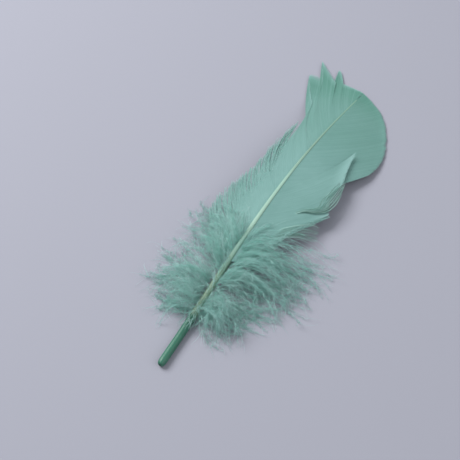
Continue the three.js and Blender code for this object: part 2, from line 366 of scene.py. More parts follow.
@dataclass
class Barbules:
    """Fine fringe of barbs: bent spindles of six faces, on both flanks of every barb.

    Lengths are in millimetres and angles in degrees. Each barbule leaves its barb at the angle
    leave, straightens by ease towards the barb's own direction, and is turned about the barb by a
    random tilt. They stand on the barb from start to end, given as shares of its length, closer
    together near its root where gather is over 1 and near its end where it is under 1. swell is
    how fast they lengthen from the shortest share at its root, as factor and power, and fade the
    power of their shortening to its end. They bend at the share bend_at of their own length, and
    skew gives even an upright one a direction across.
    """

    length: float = 2.6
    radius: float = 0.0135
    per_mm: float = 13.0
    leave: float = 38.0
    ease: float = 16.0
    scatter: float = 12.0
    tilt: float = 42.0
    stray: float = 0.2
    clump: float = 0.3
    clump_pitch: float = 2.6
    start: float = 0.03
    end: float = 1.0
    gather: float = 1.2
    lowest: float = 0.06
    shortest: float = 0.3
    swell: tuple[float, float] = (4.0, 0.5)
    fade: float = 0.6
    bend_at: float = 0.45
    sizes: tuple[float, float] = (0.55, 1.2)
    radii: tuple[float, float] = (0.7, 1.4)
    own_tone: float = 0.35
    skew: float = 0.01
    piece_limit: int = 30000
    map_columns: int = 96

    def grow(self, paths: Array, values: dict[str, Array], rng: np.random.Generator) -> list[Surface]:
        """Grows barbules on all the barbs.

        Formula: root = a random place on the barb, drawn towards tufts by a sine; middle = root +
        b L d1 and point = middle + (1 - b) L d2, where b is bend_at, d1 and d2 are the leaving and
        the straightened direction, which strays, and L the length. Three corners stand round the
        middle at even angles.

        Args:
            paths: the barbs, of shape (barbs, steps, 3).
            values: each barb's own numbers, of shape (barbs,), stored as attributes.
            rng: random numbers.

        Returns:
            Surfaces of at most piece_limit barbules each.
        """
        steps = paths.shape[1]
        reach = np.linalg.norm(np.diff(paths, axis=1), axis=2).sum(axis=1)
        counts = np.round(reach * (self.end - self.start) * self.per_mm).astype(int)
        barb = np.repeat(np.arange(len(paths)), counts)
        total = len(barb)
        t = lerp(self.start, self.end, rng.random(total) ** self.gather)
        waves = 2.0 * np.pi * reach[barb] / self.clump_pitch
        t = np.clip(t - self.clump * np.sin(waves * t + barb) / waves, 0.0, 1.0)
        spot = t * (steps - 1)
        index = np.minimum(spot.astype(int), steps - 2)
        near, far = paths[barb, index], paths[barb, index + 1]
        root = lerp(near, far, (spot - index)[:, None])
        along = unit(far - near)
        across = unit(np.cross(UP, along))
        tilt = np.radians(rng.normal(0.0, self.tilt, total))[:, None]
        flank = rng.choice([-1.0, 1.0], total)[:, None]
        out = flank * np.cos(tilt) * across + np.sin(tilt) * np.cross(along, across)
        leave = np.radians(rng.normal(self.leave, self.scatter, total))[:, None]
        later = leave - math.radians(self.ease)
        factor, power = self.swell
        size = np.clip(factor * t, 0.0, 1.0) ** power * (1.0 - t) ** self.fade
        size = self.length * lerp(self.shortest, 1.0, size)
        size = (size * rng.uniform(*self.sizes, total))[:, None]
        middle = root + self.bend_at * size * (np.cos(leave) * along + np.sin(leave) * out)
        drift = self.stray * rng.normal(size=(total, 3))
        later_way = unit(np.cos(later) * along + np.sin(later) * out + drift)
        point = middle + (1.0 - self.bend_at) * size * later_way
        middle[:, 2] = np.maximum(middle[:, 2], self.lowest)
        point[:, 2] = np.maximum(point[:, 2], self.lowest)
        radius = self.radius * rng.uniform(*self.radii, total)
        stored = {name: value[barb] for name, value in values.items()}
        stored["along"] = t
        stored["tone"] = lerp(stored["tone"], rng.random(total), self.own_tone)
        surfaces = []
        for first in range(0, total, self.piece_limit):
            cut = slice(first, first + self.piece_limit)
            part = {name: value[cut] for name, value in stored.items()}
            surfaces.append(self._surface(root[cut], middle[cut], point[cut], radius[cut], part))
        return surfaces

    def _surface(self, root: Array, middle: Array, point: Array, radius: Array, values: dict) -> Surface:
        """Makes closed spindles, each in a cell of its own on the UV map.

        Args:
            root, middle, point: the spindles' two ends and their bends.
            radius: their radii at the bend.
            values: one number a spindle, stored as attributes.

        Returns:
            The surface.
        """
        total = len(root)
        way = unit(point - root)
        side = unit(np.cross(way, UP + self.skew))
        other = np.cross(way, side)
        turn = np.arange(3) * 2.0 * np.pi / 3.0
        ring = np.cos(turn)[:, None] * side[:, None] + np.sin(turn)[:, None] * other[:, None]
        ring = middle[:, None] + radius[:, None, None] * ring
        points = np.concatenate([root[:, None], ring, point[:, None]], axis=1)
        corners = points.shape[1]
        fans = np.array([[0, 2, 1], [0, 3, 2], [0, 1, 3], [4, 1, 2], [4, 2, 3], [4, 3, 1]])
        numbers = (np.arange(total)[:, None, None] * corners + fans).reshape(-1, 3)
        rows = -(-total // self.map_columns)
        cell = np.stack([np.arange(total) % self.map_columns, np.arange(total) // self.map_columns], -1)
        within = np.array([[0.05, 0.5], [0.45, 0.1], [0.5, 0.9], [0.55, 0.4], [0.95, 0.5]])
        places = (cell[:, None] + within) / np.array([self.map_columns, rows])
        surface = Surface()
        each = {name: np.repeat(value, corners) for name, value in values.items()}
        surface.add(points.reshape(-1, 3), [numbers], [places[:, fans].reshape(-1, 3, 2)], **each)
        return surface


# ------------------------------------------------------------------ shader building


def maths(operation: str, flipped: bool = False) -> Callable[["Wire", Any], "Wire"]:
    """Makes an operator that adds one Math node.

    Args:
        operation: the node's operation.
        flipped: whether the other term comes first.

    Returns:
        The operator.
    """

    def operator(self: "Wire", other: Any) -> "Wire":
        """Joins the two terms."""
        terms = (other, self) if flipped else (self, other)
        return self.tree.add("ShaderNodeMath", {"operation": operation}, dict(enumerate(terms)))

    return operator


class Wire:
    """A socket that adds Math nodes when it is used in an expression."""

    __add__, __radd__ = maths("ADD"), maths("ADD", flipped=True)
    __sub__, __rsub__ = maths("SUBTRACT"), maths("SUBTRACT", flipped=True)
    __mul__, __rmul__ = maths("MULTIPLY"), maths("MULTIPLY", flipped=True)

    def __init__(self, tree: "Tree", socket: bpy.types.NodeSocket) -> None:
        """Wraps a node's output socket."""
        self.tree, self.socket = tree, socket

    def clamped(self) -> "Wire":
        """The value kept between 0 and 1."""
        return self.tree.add("ShaderNodeClamp", {}, {0: self})

    def step(self, low: float, high: float) -> "Wire":
        """0 below low, 1 above high, smooth between them."""
        settings = {"interpolation_type": "SMOOTHSTEP"}
        return self.tree.add("ShaderNodeMapRange", settings, {0: self, 1: low, 2: high})

    def above(self, threshold: float, gain: float) -> "Wire":
        """How far the value is over a threshold, times a gain."""
        return (self - threshold).clamped() * gain

    def below(self, threshold: float, gain: float) -> "Wire":
        """How far the value is under a threshold, times a gain."""
        return (threshold - self).clamped() * gain


class Tree:
    """A material's node tree, with one method that adds nodes."""

    def __init__(self, name: str) -> None:
        """Starts an empty material."""
        self.material = bpy.data.materials.new(name)
        self.material.use_nodes = True
        self.nodes = self.material.node_tree.nodes
        self.links = self.material.node_tree.links
        self.nodes.clear()

    def add(self, kind: str, settings: dict[str, Any], inputs: dict[Any, Any], output: Any = 0) -> Wire:
        """Adds a node.

        Args:
            kind: the node's type.
            settings: its own properties, set before its sockets. "stops" fills a colour ramp.
            inputs: values or wires by socket name or number.
            output: name or number of the socket to return.

        Returns:
            The output socket, wrapped.
        """
        node = self.nodes.new(kind)
        for name, value in settings.items():
            if name == "stops":
                self._fill(node.color_ramp, value)
            else:
                setattr(node, name, value)
        for name, value in inputs.items():
            if isinstance(value, Wire):
                self.links.new(value.socket, node.inputs[name])
            else:
                node.inputs[name].default_value = value
        return Wire(self, node.outputs[output])

    @staticmethod
    def _fill(ramp: bpy.types.ColorRamp, stops: Sequence[tuple[float, Colour]]) -> None:
        """Gives a ramp its stops.

        Args:
            ramp: the ramp, with fewer stops.
            stops: position and colour of each.
        """
        while len(ramp.elements) < len(stops):
            ramp.elements.new(1.0)
        for element, (position, colour) in zip(ramp.elements, stops):
            element.position, element.color = position, colour

    def value(self, name: str) -> Wire:
        """A number stored on the piece."""
        return self.add("ShaderNodeAttribute", {"attribute_name": name}, {}, "Fac")

    def spot(self) -> Wire:
        """The place on the piece, in metres."""
        return self.add("ShaderNodeTexCoord", {}, {}, "Object")

    def noise(self, vector: Wire, scale: float, detail: float = 3.0) -> Wire:
        """Soft noise about 0.5."""
        inputs = {"Vector": vector, "Scale": scale, "Detail": detail}
        return self.add("ShaderNodeTexNoise", {}, inputs, "Fac")

    def streaks(
        self, axes: Sequence[Wire], stretch: Sequence[float], scale: float, detail: float
    ) -> Wire:
        """Soft noise over two or three numbers of the piece, each times its stretch."""
        scaled = [axis * factor for axis, factor in zip(axes, stretch)]
        vector = self.add("ShaderNodeCombineXYZ", {}, dict(enumerate(scaled)))
        return self.noise(vector, scale, detail)

    def mix(self, share: Any, first: Any, second: Any) -> Wire:
        """Mixes two colours."""
        settings = {"data_type": "RGBA", "blend_type": "MIX"}
        return self.add("ShaderNodeMix", settings, {0: share, 6: first, 7: second}, 2)

    def bump(self, height: Wire, strength: float, distance: float) -> Wire:
        """A normal tilted by a height, for distances in metres."""
        inputs = {"Strength": strength, "Distance": distance, "Height": height}
        return self.add("ShaderNodeBump", {}, inputs)

    def principled(self, **inputs: Any) -> Wire:
        """A principled shader, its sockets named with _ for a space."""
        named = {name.replace("_", " "): value for name, value in inputs.items()}
        return self.add("ShaderNodeBsdfPrincipled", {}, named)

    def finish(self, shader: Wire) -> bpy.types.Material:
        """Joins the shader to the material's output."""
        node = self.nodes.new("ShaderNodeOutputMaterial")
        self.links.new(shader.socket, node.inputs[0])
        return self.material


def tint(red: float, green: float, blue: float) -> Colour:
    """A colour given as it looks on screen.

    Args:
        red, green, blue: its channels, from 0 to 255.

    Returns:
        The colour as linear light.
    """
    channels = np.array([red, green, blue]) / 255.0
    linear = np.where(channels <= 0.04045, channels / 12.92, ((channels + 0.055) / 1.055) ** 2.4)
    return (float(linear[0]), float(linear[1]), float(linear[2]), 1.0)


# ------------------------------------------------------------------ finishes


@dataclass(frozen=True)
class BarbFinish:
    """Dyed barbs: matt with a silky sheen, streaked along their length.

    The fades towards the tip are where the tip's colour begins and is full, and how strong it is
    there; the first darkens the upper vane as painted shade for its drooping lobe, the second is
    the tip's own darker green. Clouds and streaks have a threshold and a gain each.
    """

    name: str
    base: Colour
    deep: Colour
    pale: Colour
    tip: Colour
    glow: Colour
    thinness: float
    contrast: float
    roughness: float = 0.62
    sheen: float = 0.25
    # rim and rim_from put a painted highlight on the barbs' ends; the root's darkening is painted shade
    # where they leave the shaft.
    rim: float = 0.8
    rim_from: float = 0.9
    painted_root_shade: float = 0.3
    root_reach: float = 0.07
    tip_colour_and_shade_fades: tuple[tuple[float, float, float], ...] = ((0.6, 0.8, 0.4), (0.84, 0.95, 0.8))
    light_tone: float = 0.6
    dark_tone: float = 0.4
    cloud_scale: float = 75.0
    cloud_gain: float = 1.6
    pale_clouds: tuple[float, float] = (0.5, 0.5)
    deep_streaks: tuple[float, float] = (0.45, 0.9)
    streak_stretch: tuple[float, ...] = (2.5, 37.0, 9.0)
    grain_stretch: tuple[float, ...] = (90.0, 50.0, 40.0)
    bump_strength: float = 0.25
    bump_distance: float = 0.00006
    sheen_roughness: float = 0.45
    specular: float = 0.35

    def material(self) -> bpy.types.Material:
        """Builds the finish.

        Reads from the piece: `along` from 0 at the shaft to 1 at the barb's end, `station` from 0
        at the butt to 1 at the feather's tip, `tone`, a number of its own for each barb, and the
        painted highlight along a vane's margin, which is 0 on a piece without it. The mix runs from
        clouds of base and pale over the tip's colour, part of it painted shade on the upper vane,
        dark streaks, the barb's own tone, painted shade at the root and a painted highlight at the
        end.

        Returns:
            The material.
        """
        tree = Tree(self.name)
        along, station, tone = tree.value("along"), tree.value("station"), tree.value("tone")
        spot = tree.spot()
        cloud = tree.noise(spot, self.cloud_scale)
        axes = (along, tone, station)
        streak = tree.streaks(axes, self.streak_stretch, scale=3.0, detail=2.0)
        colour = tree.mix((cloud * self.cloud_gain).above(*self.pale_clouds), self.base, self.pale)
        # The first fade is painted shade on the upper vane's drooping lobe; the second is the tip's own
        # colour.
        for start, end, strength in self.tip_colour_and_shade_fades:
            colour = tree.mix(station.step(start, end) * strength, colour, self.tip)
        colour = tree.mix(streak.above(*self.deep_streaks), colour, self.deep)
        colour = tree.mix(tone.above(self.light_tone, self.contrast), colour, self.pale)
        colour = tree.mix(tone.below(self.dark_tone, self.contrast), colour, self.deep)
        # Painted shade where the barbs leave the shaft.
        colour = tree.mix((1.0 - along.step(0.0, self.root_reach)) * self.painted_root_shade, colour, self.deep)
        # Painted highlight on the barbs' ends.
        colour = tree.mix(along.step(self.rim_from, 1.0) * self.rim, colour, self.pale)
        # Painted highlight along a vane's margin.
        colour = tree.mix(tree.value("bleach"), colour, self.pale)
        grain = tree.streaks(axes, self.grain_stretch, scale=4.0, detail=2.0)
        solid = tree.principled(
            Base_Color=colour,
            Roughness=self.roughness,
            Normal=tree.bump(grain, self.bump_strength, self.bump_distance),
            Sheen_Weight=self.sheen,
            Sheen_Roughness=self.sheen_roughness,
            Specular_IOR_Level=self.specular,
        )
        through_it = tree.add("ShaderNodeBsdfTranslucent", {}, {"Color": self.glow})
        both = tree.add("ShaderNodeMixShader", {}, {0: self.thinness, 1: solid, 2: through_it})
        return tree.finish(both)


@dataclass(frozen=True)
class QuillFinish:
    """Smooth keratin: teal green where the dye took on the bare barrel, pale yellow-green above.

    shaft has the colours along it, as (share of its length, colour). dye_line is where the barrel's
    green ends. Clouds and streaks have a threshold and a gain each.
    """

    name: str = "quill_keratin"
    barrel: Colour = tint(56, 116, 94)
    barrel_deep: Colour = tint(34, 92, 76)
    shaft: tuple[tuple[float, Colour], ...] = (
        (0.19, tint(112, 140, 116)),
        (0.28, tint(120, 152, 130)),
        (0.38, tint(118, 159, 146)),
        (0.44, tint(154, 189, 171)),
        (0.60, tint(150, 187, 170)),
        (0.74, tint(125, 159, 142)),
        (1.00, tint(118, 160, 139)),
    )
    groove: Colour = tint(106, 116, 82)
    worn: Colour = tint(186, 212, 192)
    dye_line: float = 0.152
    dye_blur: float = 0.006
    dye_ragged: float = 0.014
    ragged_scale: float = 420.0
    cloud_scale: float = 160.0
    cloud_gain: float = 2.0
    groove_streaks: tuple[float, float] = (0.5, 0.9)
    worn_streaks: tuple[float, float] = (0.46, 3.0)
    deep_clouds: tuple[float, float] = (0.6, 1.0)
    deep_streaks: tuple[float, float] = (0.4, 1.2)
    streak_stretch: tuple[float, float] = (5.0, 26.0)
    fine_stretch: tuple[float, float] = (14.0, 90.0)
    roughness: tuple[float, float] = (0.34, 0.48)
    bump_strength: float = 0.3
    bump_distance: float = 0.00008

    def material(self) -> bpy.types.Material:
        """Builds the finish.

        Reads from the piece: `station`, from 0 at the butt to 1 at the shaft's end, and `round`,
        from 0 underneath to 1 on top. The ramp along the shaft gets dark and worn streaks, and the
        dyed barrel below the ragged dye line its own two greens.

        Returns:
            The material.
        """
        tree = Tree(self.name)
        station, turn = tree.value("station"), tree.value("round")
        spot = tree.spot()
        ragged = tree.noise(spot, self.ragged_scale, detail=4.0) * self.dye_ragged - 0.5 * self.dye_ragged
        streak = tree.streaks((station, turn), self.streak_stretch, scale=2.2, detail=3.0)
        cloud = tree.noise(spot, self.cloud_scale)
        colour = tree.add("ShaderNodeValToRGB", {"stops": self.shaft}, {0: station})
        colour = tree.mix(streak.above(*self.groove_streaks), colour, self.groove)
        colour = tree.mix(streak.below(*self.worn_streaks) * cloud, colour, self.worn)
        clouds = (cloud * self.cloud_gain).above(*self.deep_clouds)
        green = tree.mix(clouds, self.barrel, self.barrel_deep)
        green = tree.mix(streak.above(*self.deep_streaks), green, self.barrel_deep)
        line = (station + ragged).step(self.dye_line - self.dye_blur, self.dye_line + self.dye_blur)
        fine = tree.streaks((station, turn), self.fine_stretch, scale=3.0, detail=2.0)
        shader = tree.principled(
            Base_Color=tree.mix(1.0 - line, colour, green),
            Roughness=lerp(*self.roughness, cloud),
            Normal=tree.bump(fine, self.bump_strength, self.bump_distance),
            Specular_IOR_Level=0.5,
        )
        return tree.finish(shader)


@dataclass(frozen=True)
class FloorFinish:
    """Plain pale matt backdrop."""

    name: str = "backdrop_paper"
    colour: Colour = tint(160, 161, 172)
    shade: Colour = tint(148, 148, 160)
    clouding: float = 0.06

    def material(self) -> bpy.types.Material:
        """Builds the finish: the paper's colour with faint clouds of the shade.

        Returns:
            The material.
        """
        tree = Tree(self.name)
        cloud = tree.noise(tree.spot(), scale=6.0, detail=2.0)
        colour = tree.mix(cloud * self.clouding, self.colour, self.shade)
        return tree.finish(tree.principled(Base_Color=colour, Roughness=0.9, Specular_IOR_Level=0.2))


VANE_FINISH = BarbFinish(
    name="vane_barbs",
    base=tint(124, 169, 163),
    deep=tint(103, 150, 140),
    pale=tint(148, 191, 186),
    tip=tint(86, 144, 127),
    glow=tint(150, 205, 190),
    thinness=0.2,
    contrast=0.5,
    rim=0.0,
)
# Loose barbs: a lighter base as painted highlight for strands standing off the vane, and a dark deep
# green that random barbs take, partly random tone and partly painted shade for the gaps between strands.
LOOSE_FINISH = BarbFinish(
    name="loose_barbs",
    base=tint(146, 197, 188),
    deep=tint(56, 118, 98),
    pale=tint(192, 230, 222),
    tip=tint(96, 158, 138),
    glow=tint(150, 205, 190),
    thinness=0.15,
    contrast=2.6,
)
DOWN_FINISH = BarbFinish(
    name="down_barbs",
    base=tint(158, 230, 219),
    deep=tint(72, 172, 148),
    pale=tint(226, 248, 250),
    tip=tint(160, 230, 214),
    glow=tint(170, 238, 225),
    thinness=0.3,
    contrast=2.3,
    roughness=0.75,
    sheen=0.6,
)


# ------------------------------------------------------------------ the feather


@dataclass(frozen=True)
class Web:
    """A run of barbs that hold together, as the solid has it.

    Its barbs leave the shaft from foot to head and end on the outline through margin, given as
    (distance out, distance from the butt). bend is the angle between a barb and its own chord,
    lift raises the margin, by the first and the last barb, curl turns the barbs' ends up, and
    fray, from 0 to 1, is how thin the barbs' outer parts get and how far they stray. The last two
    numbers are a painted highlight along the margin: how strong it is, and from what share of the
    barbs' length on it sets in.
    """

    foot: float
    head: float
    bend: float
    lift: tuple[float, float]
    margin: tuple[tuple[float, float], ...]
    fray: float = 0.05
    curl: float = 0.1
    # Painted highlight along the margin: its strength and where it sets in.
    bleach: float = 0.8
    bleach_from: float = 0.9


NARROW_WEBS = (
    Web(48, 60, 16, (0.2, 0.3), ((19.6, 67), (18.8, 74), (17.6, 81)), 0.95, -0.2),
    Web(59.4, 84, 15, (0.3, 0.5), ((17.3, 82), (14.8, 92), (13.0, 103)), 0.8, -0.2),
    Web(79, 85, 12, (-0.1, 0.1), ((14.2, 104), (13.8, 113), (12.9, 123.5)), 1.0, 0.0),
    Web(84, 109, 13, (0.4, 0.4), ((9.8, 107.5), (11, 122), (14.3, 138)), 0.04, -0.35),
    Web(108.2, 115, 9, (0.15, 0.1), ((14.6, 138.6), (20.4, 147), (24.2, 153.4), (17.6, 155)), 0.0),
    Web(113, 128, 7, (0.15, 0.4), ((18.0, 153.2), (20.6, 158.4), (23.2, 163.4), (12.6, 155)), 0.0, 0.2),
    Web(126.4, 137, 7, (0.3, 0.2), ((13.2, 154.8), (14.6, 162.6), (9.8, 156.6)), 0.0),
    Web(136, 150, 6, (0.1, 0.0), ((10.2, 156.2), (5.0, 155.8), (-0.4, 154.7)), 0.05),
)

WIDE_HOOK = ((18.2, 79.4), (20.5, 83.0), (21.8, 86.4))
WIDE_NOTCH = ((21.9, 86.6), (19.4, 91), (19.2, 98), (18.8, 104), (17.0, 112), (15.6, 120))

WIDE_WEBS = (
    Web(48, 54, 20, (0.1, 0.2), ((12, 63), (12.8, 66), (12.9, 69.6)), 0.9),
    Web(53.4, 61, 18, (0.2, 0.3), ((13.0, 70.2), (15.4, 74.6), (18, 78.8)), 0.6),
    Web(60.2, 64.6, 15, (0.3, 0.4), WIDE_HOOK, 0.5),
    # This web's margin carries a strong painted highlight, from 0.7 of the barbs' length on.
    Web(64.3, 85, 14, (0.4, 0.9), WIDE_NOTCH, 0.05, 0.5, 1.0, 0.7),
    Web(81, 112, 12, (-0.1, 0.0), ((24.6, 114.5), (25.4, 121), (24, 129), (20.4, 137.2)), 0.02, 0.1, 0.1),
    Web(111.2, 132, 11.8, (0.02, 0.0), ((20.9, 136.4), (16.6, 143.6), (12.2, 148.4)), 0.02, 0.1, 0.1),
    Web(131.2, 150, 8, (0.02, 0.0), ((12.6, 148.2), (6.0, 152.4), (0.3, 154.8)), 0.04, 0.1, 0.2),
)


def barb_arcs(roots: Array, tips: Array, bend: Array, steps: Array) -> Array:
    """Level arcs from roots to tips.

    Formula: the heading turns evenly from chord + bend at the root to chord - bend at the tip,
    and the place is the integral of the heading.

    Args:
        roots, tips: ends of each barb, one (out, along) row each.
        bend: angle between each barb and its chord, in radians.
        steps: places along a barb, from 0 to 1.

    Returns:
        Places of shape (barbs, steps, 2).
    """
    span = tips - roots
    chord = np.arctan2(span[:, 0], span[:, 1])[:, None]
    bend = bend[:, None]
    reach = np.linalg.norm(span, axis=1)[:, None] * bend / np.sin(bend)
    start = chord + bend
    heading = start - 2.0 * bend * steps
    out = roots[:, :1] + reach * (np.cos(heading) - np.cos(start)) / (2.0 * bend)
    up = roots[:, 1:] + reach * (np.sin(start) - np.sin(heading)) / (2.0 * bend)
    return np.stack([out, up], axis=-1)


def wander(
    count: int, rng: np.random.Generator, numbers: int = 7, span: int = 13, common: float = 0.6
) -> tuple[Array, Array]:
    """A few wandering numbers a barb, about -1 to 1.

    Formula: common times normal noise smoothed by a bell over span barbs, and 1 - common times
    the same sort unsmoothed.

    Args:
        count: how many barbs.
        rng: random numbers.
        numbers: how many numbers each barb has.
        span: how many neighbours the bell takes in.
        common: how much of a number is shared with the neighbours.

    Returns:
        The share that neighbours have in common, and each barb's own.
    """
    rough = rng.normal(size=(count + 2 * (span - 1), numbers))
    bell = np.hanning(span) / np.sqrt((np.hanning(span) ** 2).sum())
    smoothed = np.stack([np.convolve(column, bell, "same") for column in rough.T], axis=-1)
    return common * smoothed[span - 1 : 1 - span], (1.0 - common) * rng.normal(size=(count, numbers))


@dataclass
class Shaft:
    """Quill and shaft: a smooth tapering tube with a groove beneath and a pit in the butt.

    blend is where the shaft's own section sets in, from the end of the barrel. pit has the rings
    of the pit as (radius, depth), from its floor outwards. cap is the caps' half size on the map.
    """

    rings: int = 150
    crowding: float = 1.15
    first_ring: float = 0.02
    butt_rings: int = 10
    butt_share: float = 0.9
    sides: int = 24
    blend: tuple[float, float] = (-2.0, 14.0)
    groove_depth: float = 0.22
    groove_width: float = 0.32
    squareness: float = 0.07
    pit: tuple[tuple[float, float], ...] = ((0.12, 1.4), (0.2, 1.4), (0.32, 0.15))
    rim: float = 0.8
    cap: tuple[float, float] = (0.01, 0.3)
    lowest: float = 0.005

    def surface(self) -> Surface:
        """Builds the tube.

        Formula: round the line at y, radius(y) * (1 - groove), where the groove is a narrow bell
        about the underside that opens above the barrel; the section turns from round on the
        barrel to a flat-sided rounded square on the shaft.

        Returns:
            The closed surface.
        """
        start, shoulder = self.first_ring * LINE.quill_end, self.butt_share * LINE.quill_end
        y = lerp(start, LINE.length, np.linspace(0.0, 1.0, self.rings) ** self.crowding)
        y = np.concatenate([np.linspace(0.0, shoulder, self.butt_rings)[:-1], y[y > shoulder]])
        turn = np.linspace(0.0, 2.0 * np.pi, self.sides, endpoint=False)
        low, high = LINE.quill_length + self.blend[0], LINE.quill_length + self.blend[1]
        above = smooth_step(low, high, y)[:, None]
        from_below = (turn + 1.5 * np.pi) % (2.0 * np.pi) - np.pi
        below = np.exp(-((from_below / self.groove_width) ** 2))
        groove = 1.0 - self.groove_depth * above * below
        square = 1.0 - self.squareness * above * np.cos(4.0 * turn)
        reach = LINE.radius(y)[:, None] * groove * square
        axis = LINE.axis(y)[:, None]
        side = np.stack([np.cos(turn), np.zeros_like(turn), np.sin(turn)], axis=-1)
        points = np.concatenate([self._pit(side), axis + reach[..., None] * side])
        points[..., 2] = np.maximum(points[..., 2], self.lowest)
        y = np.concatenate([np.zeros(len(points) - len(y)), y])
        return self._closed(points, y, turn)

    def _pit(self, side: Array) -> Array:
        """Rings of the small blind hole in the butt.

        Args:
            side: directions round the section.

        Returns:
            The rings, from its floor outwards to the rim.
        """
        radius, depth = np.array([*self.pit, (self.rim * LINE.butt_radius, 0.0)]).T
        ring = LINE.axis(0.0) + radius[:, None, None] * side
        ring[..., 1] += depth[:, None]
        return ring

    def _closed(self, points: Array, y: Array, turn: Array) -> Surface:
        """Joins the rings and caps the floor of the pit and the far end.

        Args:
            points: the rings, of shape (rings, sides, 3).
            y: each ring's distance from the butt.
            turn: each side's angle round the section.

        Returns:
            The closed surface.
        """
        rings, sides, _ = points.shape
        ring, side = np.meshgrid(np.arange(rings - 1), np.arange(sides), indexing="ij")
        corner = np.array([[0, 0], [1, 0], [1, 1], [0, 1]])
        level, over = ring[..., None] + corner[:, 0], side[..., None] + corner[:, 1]
        quads = (level * sides + over % sides).reshape(-1, 4)
        first = np.arange(sides)[None]
        last = first[:, ::-1] + (rings - 1) * sides
        across, up = self.cap
        disc = np.stack([across * (1.0 + np.cos(turn)), 0.5 + up * np.sin(turn)], axis=-1)[None]
        far_disc = disc * np.array([-1, 1]) + np.array([1, 0])
        skin = np.stack([level / (rings - 1), over / sides], axis=-1)
        station = np.repeat(y / LINE.length, sides)
        about = np.tile(0.5 - 0.5 * np.cos(turn + 0.5 * np.pi), rings)
        values = {"station": station, "round": about}
        surface = Surface()
        surface.add(points.reshape(-1, 3), [quads, first, last], [skin, disc, far_disc], **values)
        return surface


